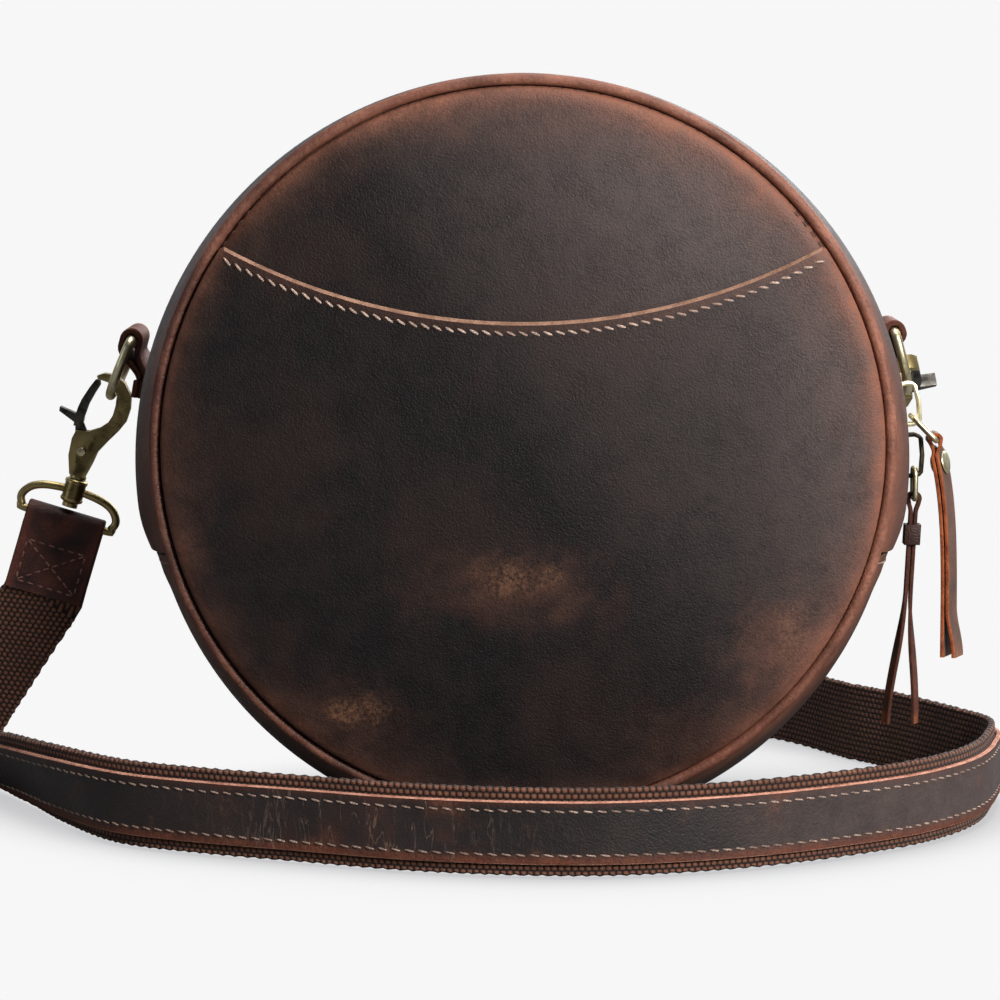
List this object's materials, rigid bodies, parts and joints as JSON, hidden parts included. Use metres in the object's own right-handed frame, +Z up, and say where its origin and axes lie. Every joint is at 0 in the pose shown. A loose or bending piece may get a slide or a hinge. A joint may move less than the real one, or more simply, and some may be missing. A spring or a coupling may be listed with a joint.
{
  "type": "crossbody bag",
  "caption": "Round leather crossbody bag with a slip pocket, a zipped gusset with hanging pulls, and a detachable webbing and leather strap lying round it",
  "frame": {"origin": "middle of the flat underside that the bag stands on", "axes": "+Z up, -Y the way the pocket faces, +X to the right as the pocket is seen"},
  "size_m": [0.3176, 0.2555, 0.2116],
  "materials": {
    "dark_leather": "waxed pull-up leather, dark espresso with paler scuffs",
    "edge_leather": "worn reddish-brown leather",
    "pull_leather": "matte brown leather with raw cut edges",
    "webbing": "thick brown twill webbing",
    "zip_cloth": "dark woven zip tape",
    "lining": "plain woven cloth",
    "pale_brass": "pale polished brass",
    "antique_brass": "darkened antique brass",
    "spring_steel": "bright spring steel"
  },
  "bodies": {
    "bag": {"front_panel": "dark_leather", "front_pocket": "dark_leather", "front_rim": "edge_leather", "back_panel": "dark_leather", "back_rim": "edge_leather", "base_gusset": "dark_leather", "zip_strip_front": "dark_leather", "zip_strip_back": "dark_leather", "zip_tape_front": "zip_cloth", "zip_tape_back": "zip_cloth", "zip_teeth_front": "antique_brass", "zip_teeth_back": "antique_brass", "zip_stop_left": "antique_brass", "zip_stop_right": "antique_brass", "lining_front": "lining", "lining_back": "lining", "lining_base": "lining", "lining_zip_front": "lining", "lining_zip_back": "lining", "ring_tab_left": "edge_leather", "ring_tab_right": "edge_leather", "snap_ring_left": "antique_brass", "snap_ring_right": "antique_brass", "strap_webbing": "webbing", "strap_leather": "dark_leather", "strap_tab_left": "edge_leather", "strap_tab_right": "edge_leather"},
    "main_slider": {"main_slider": "pale_brass"},
    "main_link": {"main_link": "pale_brass"},
    "main_pull": {"pull_leather": "pull_leather", "pull_rivet": "antique_brass"},
    "second_slider": {"second_slider": "antique_brass"},
    "second_link": {"second_link": "pale_brass"},
    "tassel": {"tassel_thong": "pull_leather", "tassel_collar": "pull_leather"},
    "d_ring_left": {"d_ring_left": "pale_brass"},
    "d_ring_right": {"d_ring_right": "pale_brass"},
    "hook_left": {"snap_hook_left": "antique_brass", "trigger_pin_left": "antique_brass", "trigger_spring_left": "spring_steel"},
    "trigger_left": {"snap_trigger_left": "antique_brass"},
    "hook_right": {"snap_hook_right": "antique_brass", "trigger_pin_right": "antique_brass", "trigger_spring_right": "spring_steel"},
    "trigger_right": {"snap_trigger_right": "antique_brass"}
  },
  "joints": [
    {"name": "main_zip_run", "type": "hinge", "parent": "bag", "child": "main_slider", "pos_m": [0, 0, 0.1003], "axis": [0, -1, 0], "range_deg": [0, 174]},
    {"name": "main_link_swing", "type": "hinge", "parent": "main_slider", "child": "main_link", "pos_m": [0.11301, 0, 0.1128], "axis": [0, -1, 0], "range_deg": [0, 100]},
    {"name": "main_pull_swing", "type": "hinge", "parent": "main_link", "child": "main_pull", "pos_m": [0.11939, 0, 0.1063], "axis": [0, -1, 0], "range_deg": [0, 80]},
    {"name": "second_zip_run", "type": "hinge", "parent": "bag", "child": "second_slider", "pos_m": [0, 0, 0.1003], "axis": [0, -1, 0], "range_deg": [-4, 0]},
    {"name": "second_link_swing", "type": "hinge", "parent": "second_slider", "child": "second_link", "pos_m": [0.11367, 0, 0.09771], "axis": [0, -1, 0], "range_deg": [0, 3]},
    {"name": "tassel_swing", "type": "hinge", "parent": "second_link", "child": "tassel", "pos_m": [0.11367, 0, 0.08911], "axis": [0, -1, 0], "range_deg": [-1, 3]},
    {"name": "ring_left_play", "type": "hinge", "parent": "bag", "child": "d_ring_left", "pos_m": [-0.11413, 0.024, 0.13411], "axis": [0, -1, 0], "range_deg": [-3, 0.5]},
    {"name": "ring_right_play", "type": "hinge", "parent": "bag", "child": "d_ring_right", "pos_m": [0.10885, 0.024, 0.13651], "axis": [0, -1, 0], "range_deg": [-0.5, 0.5]},
    {"name": "hook_left_swivel", "type": "hinge", "parent": "bag", "child": "hook_left", "pos_m": [-0.13266, 0.024, 0.08876], "axis": [0.29, 0, 0.957], "range_deg": [-5, 5]},
    {"name": "trigger_left_press", "type": "hinge", "parent": "hook_left", "child": "trigger_left", "pos_m": [-0.13012, 0.024, 0.10053], "axis": [0, 1, 0], "range_deg": [0, 5], "stiffness_Nm_per_rad": 0.05, "springref_deg": -17.19},
    {"name": "hook_right_swivel", "type": "hinge", "parent": "bag", "child": "hook_right", "pos_m": [0.1116, 0.0608, 0.10792], "axis": [0.0999, -0.8488, 0.5192], "range_deg": [-4, 4]},
    {"name": "trigger_right_press", "type": "hinge", "parent": "hook_right", "child": "trigger_right", "pos_m": [0.11378, 0.05076, 0.11421], "axis": [0.1285, -0.5065, -0.8526], "range_deg": [0, 4], "stiffness_Nm_per_rad": 0.05, "springref_deg": -17.19}
  ]
}
